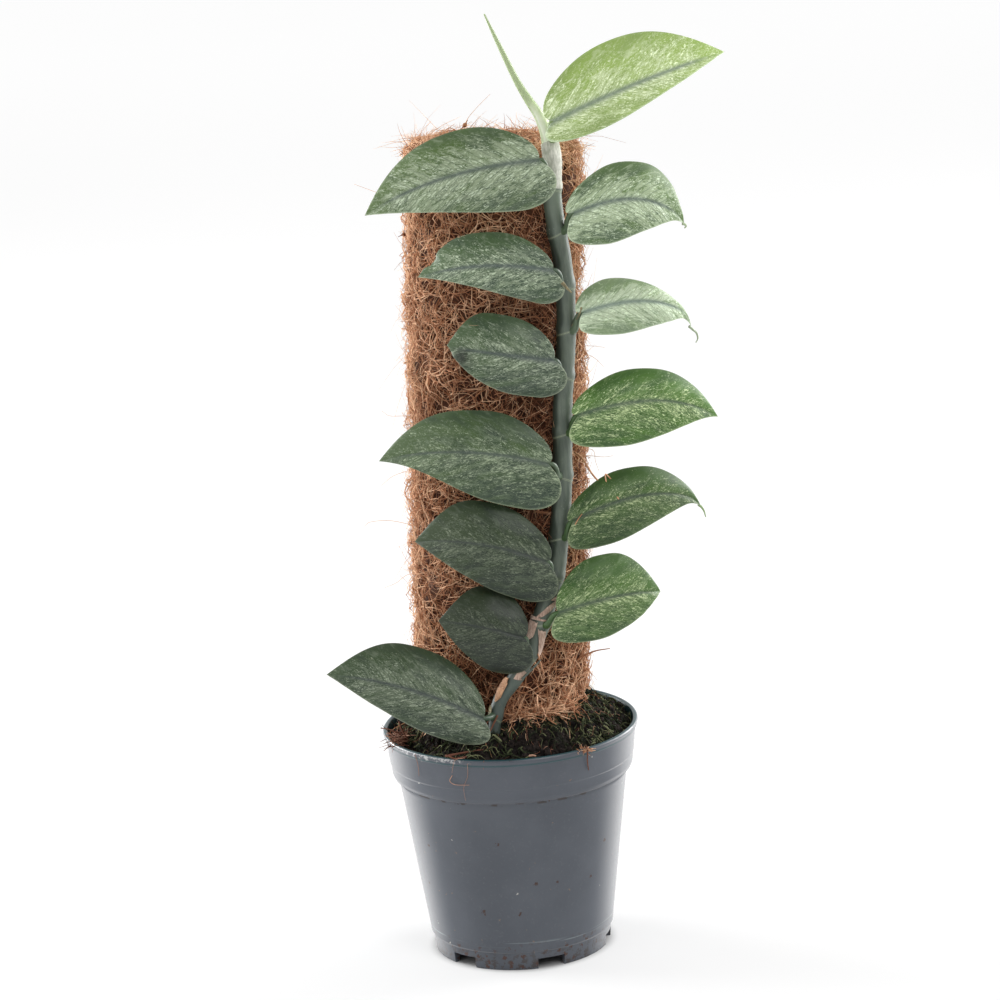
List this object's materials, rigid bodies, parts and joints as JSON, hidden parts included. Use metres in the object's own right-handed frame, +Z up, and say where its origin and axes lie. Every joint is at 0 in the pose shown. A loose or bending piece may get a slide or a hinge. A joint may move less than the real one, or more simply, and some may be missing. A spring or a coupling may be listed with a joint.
{
  "type": "potted climbing house plant",
  "caption": "Young climbing plant with oval, silver-flecked leaves on both sides of its stem, on a thick coir pole in a stepped plastic nursery pot.",
  "frame": {"origin": "on the pot's axis, on the surface that the pot stands on, under the centre of the pot's floor pad", "axes": "+Z up, -Y towards the front, where the stem climbs the pole, and +X to the right as the plant is seen from the front"},
  "size_m": [0.1972, 0.12, 0.4456],
  "materials": {
    "pot_plastic": "satin",
    "potting_mix": "matte",
    "coir": "matte",
    "stake_wood": "matte",
    "stem": "satin",
    "leaf": "satin",
    "young_leaf": "satin",
    "dry_scale": "matte"
  },
  "bodies": {
    "root": {"pot": "pot_plastic", "potting_mix": "potting_mix", "coir_sleeve": "coir", "pole_stake": "stake_wood", "stem": "stem", "young_shoot": "young_leaf", "leaf_left_1": "leaf", "leaf_left_2": "leaf", "leaf_left_3": "leaf", "leaf_left_4": "leaf", "leaf_left_5": "leaf", "leaf_left_6": "leaf", "leaf_left_7": "leaf", "leaf_right_1": "young_leaf", "leaf_right_2": "leaf", "leaf_right_3": "leaf", "leaf_right_4": "leaf", "leaf_right_5": "leaf", "leaf_right_6": "leaf", "dry_scale_1": "dry_scale", "dry_scale_2": "dry_scale", "dry_scale_3": "dry_scale"}
  },
  "joints": []
}
